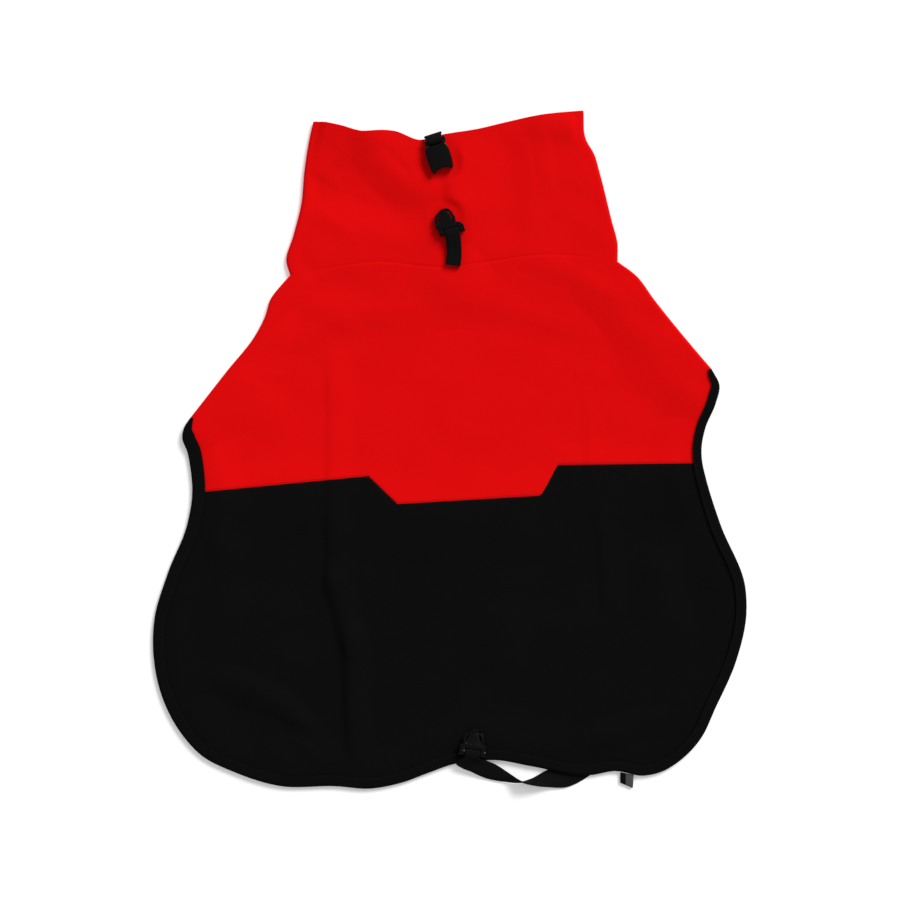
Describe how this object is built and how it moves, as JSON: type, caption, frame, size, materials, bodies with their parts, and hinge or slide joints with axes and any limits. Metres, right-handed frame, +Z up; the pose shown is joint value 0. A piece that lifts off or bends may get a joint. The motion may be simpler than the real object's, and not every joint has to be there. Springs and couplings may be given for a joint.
{
  "type": "dog raincoat",
  "caption": "Dog raincoat laid flat, back up: folded standing collar, yoke and contrast rear panel with a bound edge and hem, webbing tabs and unfastened buckle halves.",
  "frame": {"origin": "middle of the coat's outline box, on the surface that it lies on", "axes": "+Y from the hem to the collar, +X to the right as the back is looked down on, +Z up out of the back"},
  "size_m": [0.3951, 0.4517, 0.0106],
  "materials": {
    "red_softshell": "matte coated cloth",
    "black_softshell": "matte coated cloth",
    "black_binding": "matte folded tape",
    "black_webbing": "matte woven webbing",
    "black_plastic": "satin moulded plastic"
  },
  "bodies": {
    "coat": {"collar": "red_softshell", "collar_throat": "red_softshell", "back_yoke": "red_softshell", "chest_panel": "red_softshell", "rear_panel": "black_softshell", "edge_binding": "black_binding", "neck_tab": "black_webbing", "collar_tab": "black_webbing", "tail_strap": "black_webbing", "hem_tab": "black_webbing"},
    "neck_buckle_half": {"neck_plug": "black_plastic"},
    "collar_buckle_half": {"buckle_socket": "black_plastic"},
    "hem_buckle_half": {"hem_plug": "black_plastic"}
  },
  "joints": [
    {"name": "neck_plug_flip", "type": "hinge", "parent": "coat", "child": "neck_buckle_half", "pos_m": [0.0013, 0.1455, 0.00698], "axis": [0.9744, 0.225, 0], "range_deg": [0, 90]},
    {"name": "collar_socket_flip", "type": "hinge", "parent": "coat", "child": "collar_buckle_half", "pos_m": [-0.01, 0.2055, 0.00759], "axis": [-0.9511, -0.309, 0], "range_deg": [0, 90]},
    {"name": "hem_plug_flip", "type": "hinge", "parent": "coat", "child": "hem_buckle_half", "pos_m": [0.015, -0.2015, 0.0066], "axis": [0.9925, -0.1219, 0], "range_deg": [0, 90]}
  ]
}
